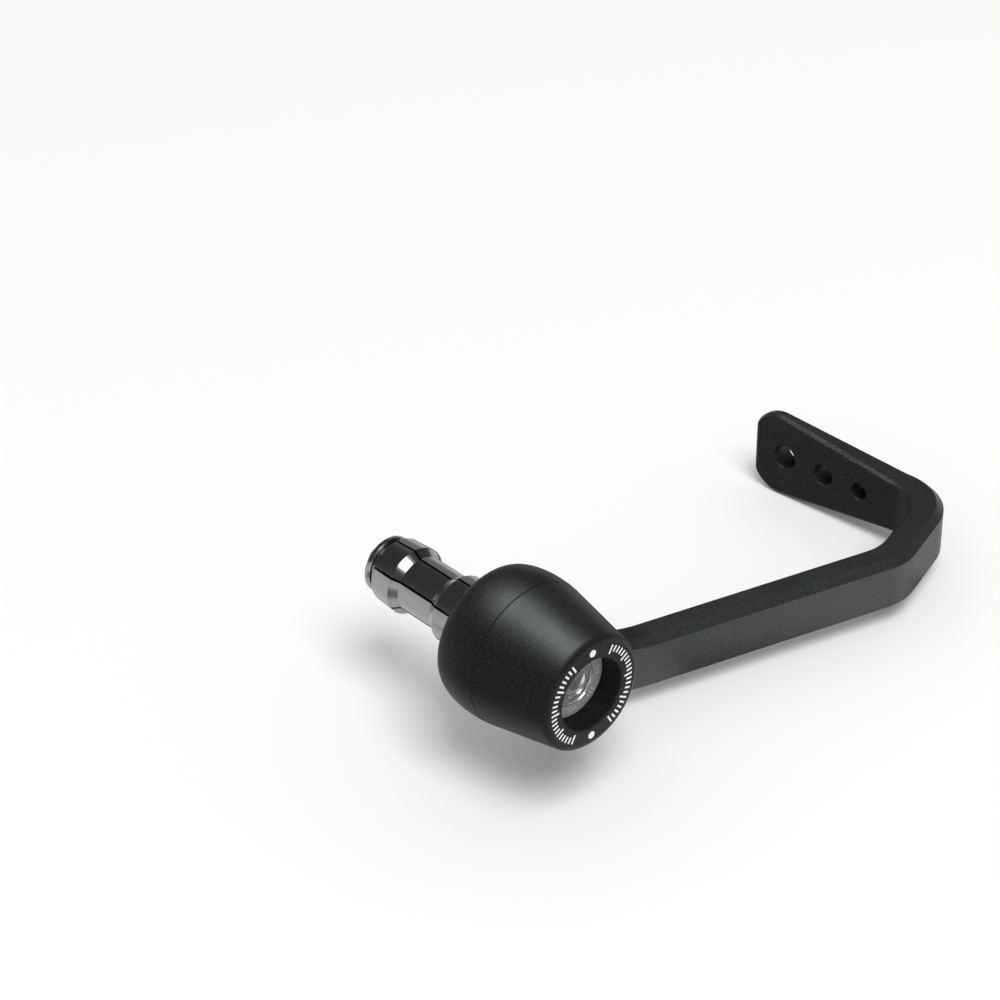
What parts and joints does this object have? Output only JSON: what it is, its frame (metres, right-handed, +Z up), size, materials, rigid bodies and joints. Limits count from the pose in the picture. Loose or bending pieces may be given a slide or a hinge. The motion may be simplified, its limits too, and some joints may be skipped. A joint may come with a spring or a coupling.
{
  "type": "brake lever guard",
  "caption": "Bar-end brake lever guard: cranked flat arm with a drilled flared tip, tapered bar-end weight and a slotted expander that clamps inside the handlebar.",
  "frame": {"origin": "on the bar axis, in the plane of the hub's inner face where the handlebar's end seats", "axes": "+X out of the handlebar's end along the bar axis, +Y forward, +Z up"},
  "size_m": [0.0706, 0.1499, 0.0509],
  "materials": {
    "arm_black": "satin black powder coat",
    "weight_black": "satin black, fine texture",
    "washer_grey": "grey anodised",
    "bolt_steel": "dark steel",
    "cone_steel": "turned and polished",
    "nut_steel": "turned and polished",
    "jaw_steel": "turned and polished"
  },
  "bodies": {
    "guard": {"guard_arm": "arm_black", "bar_end_weight": "weight_black", "washer": "washer_grey", "bar_cone": "cone_steel"},
    "bolt": {"clamp_bolt": "bolt_steel"},
    "nut": {"wedge_nut": "nut_steel"},
    "jaw_1": {"jaw_1": "jaw_steel"},
    "jaw_2": {"jaw_2": "jaw_steel"},
    "jaw_3": {"jaw_3": "jaw_steel"},
    "jaw_4": {"jaw_4": "jaw_steel"},
    "jaw_5": {"jaw_5": "jaw_steel"},
    "jaw_6": {"jaw_6": "jaw_steel"}
  },
  "joints": [
    {"name": "bolt_turn", "type": "hinge", "parent": "guard", "child": "bolt", "pos_m": [0, 0, 0], "axis": [-1, 0, 0], "range_deg": [0, 360]},
    {"name": "nut_draw", "type": "slide", "parent": "guard", "child": "nut", "axis": [1, 0, 0], "range_m": [0, 0.001]},
    {"name": "jaw_1_spread", "type": "slide", "parent": "guard", "child": "jaw_1", "axis": [0.9659, 0.2588, 0], "range_m": [0, 0.00051764]},
    {"name": "jaw_2_spread", "type": "slide", "parent": "guard", "child": "jaw_2", "axis": [0.9659, 0.1294, 0.2241], "range_m": [0, 0.00051764]},
    {"name": "jaw_3_spread", "type": "slide", "parent": "guard", "child": "jaw_3", "axis": [0.9659, -0.1294, 0.2241], "range_m": [0, 0.00051764]},
    {"name": "jaw_4_spread", "type": "slide", "parent": "guard", "child": "jaw_4", "axis": [0.9659, -0.2588, 0], "range_m": [0, 0.00051764]},
    {"name": "jaw_5_spread", "type": "slide", "parent": "guard", "child": "jaw_5", "axis": [0.9659, -0.1294, -0.2241], "range_m": [0, 0.00051764]},
    {"name": "jaw_6_spread", "type": "slide", "parent": "guard", "child": "jaw_6", "axis": [0.9659, 0.1294, -0.2241], "range_m": [0, 0.00051764]}
  ],
  "couplings": [
    {"joint": "bolt_turn", "follows": "nut_draw", "rad_per_m": 6282.6},
    {"joint": "jaw_1_spread", "follows": "nut_draw", "ratio": 0.51759},
    {"joint": "jaw_2_spread", "follows": "nut_draw", "ratio": 0.51759},
    {"joint": "jaw_3_spread", "follows": "nut_draw", "ratio": 0.51759},
    {"joint": "jaw_4_spread", "follows": "nut_draw", "ratio": 0.51759},
    {"joint": "jaw_5_spread", "follows": "nut_draw", "ratio": 0.51759},
    {"joint": "jaw_6_spread", "follows": "nut_draw", "ratio": 0.51759}
  ]
}
